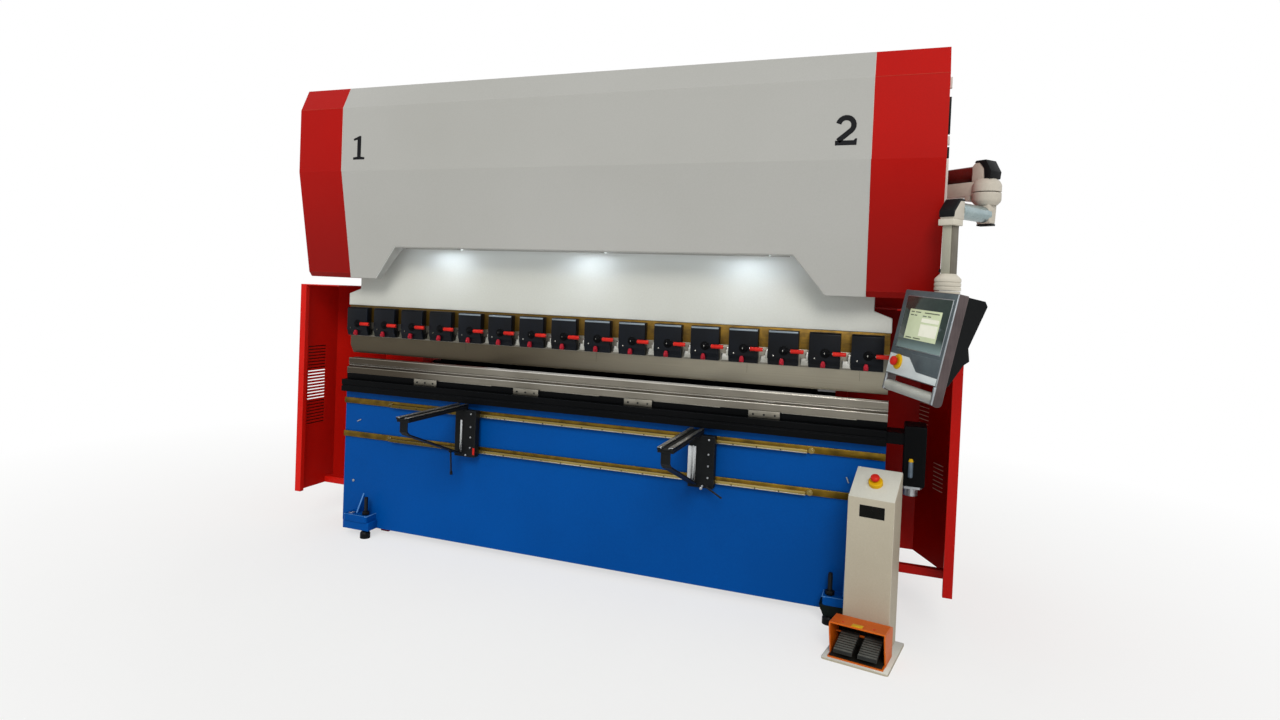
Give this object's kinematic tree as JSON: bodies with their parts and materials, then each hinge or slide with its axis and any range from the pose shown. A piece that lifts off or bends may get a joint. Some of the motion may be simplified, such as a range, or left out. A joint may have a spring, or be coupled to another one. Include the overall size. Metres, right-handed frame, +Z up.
{
  "type": "press brake",
  "caption": "Hydraulic sheet-metal press brake with a sliding ram, clamped punch, lower die, sheet supports, swinging control pendant and foot pedals.",
  "frame": {"origin": "middle of the footprint on the floor", "axes": "+Z up, -Y towards the operator, +X along the bending length to the operator's right"},
  "size_m": [3.95, 1.92, 2.722],
  "materials": {
    "red_paint": "semi-gloss red enamel",
    "blue_paint": "semi-gloss blue enamel",
    "grey_paint": "satin light grey powder coat",
    "light_paint": "satin pale grey paint",
    "black_paint": "black oxide and black paint",
    "cream_paint": "satin cream powder coat",
    "orange_paint": "orange enamel",
    "tool_steel": "ground steel",
    "zinc_yellow": "yellow passivated steel strip",
    "bare_aluminium": "extruded, natural",
    "black_glossy": "dark window",
    "grey_plastic": "grey moulded housing",
    "black_rubber": "ribbed rubber tread",
    "yellow_plastic": "yellow",
    "red_plastic": "red"
  },
  "bodies": {
    "machine": {"bed_plate": "blue_paint", "crowning_table": "black_paint", "die_holder": "black_paint", "lower_die": "tool_steel", "side_frame_left": "red_paint", "side_frame_right": "red_paint", "rear_tie_beam": "red_paint", "upper_tie_beam": "red_paint", "support_rail_upper": "zinc_yellow", "support_rail_lower": "zinc_yellow", "front_cover": "grey_paint", "end_cover_left": "red_paint", "end_cover_right": "red_paint", "cover_carrier": "black_paint", "oil_tank": "grey_paint", "pump_motor": "blue_paint", "cylinder_left": "black_paint", "cylinder_right": "black_paint", "gauge_rail_left": "tool_steel", "gauge_rail_right": "tool_steel", "side_guard_left": "red_paint", "side_guard_right": "red_paint", "crowning_drive": "black_paint", "drive_bracket": "tool_steel", "arm_beam": "cream_paint", "control_cabinet": "grey_paint", "levelling_bolt_left": "black_paint", "levelling_bolt_right": "black_paint", "pedestal": "cream_paint", "pedestal_window": "black_glossy", "pedal_guard": "orange_paint", "stop_base": "yellow_plastic"},
    "ram": {"ram_plate": "light_paint", "clamp_row": "black_paint", "punch": "tool_steel"},
    "support_left": {"support_carriage_left": "black_paint", "support_top_left": "bare_aluminium"},
    "support_right": {"support_carriage_right": "black_paint", "support_top_right": "bare_aluminium"},
    "gauge": {"back_gauge": "black_paint"},
    "pendant_arm": {"arm_pole": "cream_paint"},
    "pendant": {"pendant_case": "grey_plastic", "pendant_housing": "black_paint", "pendant_grip": "bare_aluminium"},
    "pendant_stop_head": {"pendant_stop": "red_plastic"},
    "left_pedal": {"pedal_left": "black_rubber"},
    "right_pedal": {"pedal_right": "black_rubber"},
    "stop_head": {"stop_button": "red_plastic"}
  },
  "joints": [
    {"name": "ram_slide", "type": "slide", "parent": "machine", "child": "ram", "axis": [0, 0, 1], "range_m": [-0.026, 0.18]},
    {"name": "support_left_slide", "type": "slide", "parent": "machine", "child": "support_left", "axis": [1, 0, 0], "range_m": [-0.44, 0.53]},
    {"name": "support_right_slide", "type": "slide", "parent": "machine", "child": "support_right", "axis": [1, 0, 0], "range_m": [-0.64, 0.44]},
    {"name": "back_gauge_slide", "type": "slide", "parent": "machine", "child": "gauge", "axis": [0, 1, 0], "range_m": [-0.1, 0.5]},
    {"name": "arm_swing", "type": "hinge", "parent": "machine", "child": "pendant_arm", "pos_m": [1.914, -0.379, 2.089], "axis": [0, 0, 1], "range_deg": [-5, 60]},
    {"name": "pendant_turn", "type": "hinge", "parent": "pendant_arm", "child": "pendant", "pos_m": [1.7585, -0.618, 1.63], "axis": [0, 0, 1], "range_deg": [-35, 60]},
    {"name": "left_pedal_press", "type": "hinge", "parent": "machine", "child": "left_pedal", "pos_m": [1.43039, -0.63648, 0.08], "axis": [0.9836, -0.1805, 0], "range_deg": [0, 5], "stiffness_Nm_per_rad": 25, "springref_deg": -3.44},
    {"name": "right_pedal_press", "type": "hinge", "parent": "machine", "child": "right_pedal", "pos_m": [1.53268, -0.65525, 0.08], "axis": [0.9836, -0.1805, 0], "range_deg": [0, 5], "stiffness_Nm_per_rad": 25, "springref_deg": -3.44},
    {"name": "stop_press", "type": "slide", "parent": "machine", "child": "stop_head", "axis": [0.0999, 0.5444, -0.8328], "range_m": [0, 0.003], "stiffness_N_per_m": 4000, "springref_m": -0.002},
    {"name": "pendant_stop_press", "type": "slide", "parent": "pendant", "child": "pendant_stop_head", "axis": [0.8629, 0.4697, -0.1867], "range_m": [0, 0.003], "stiffness_N_per_m": 4000, "springref_m": -0.002}
  ]
}
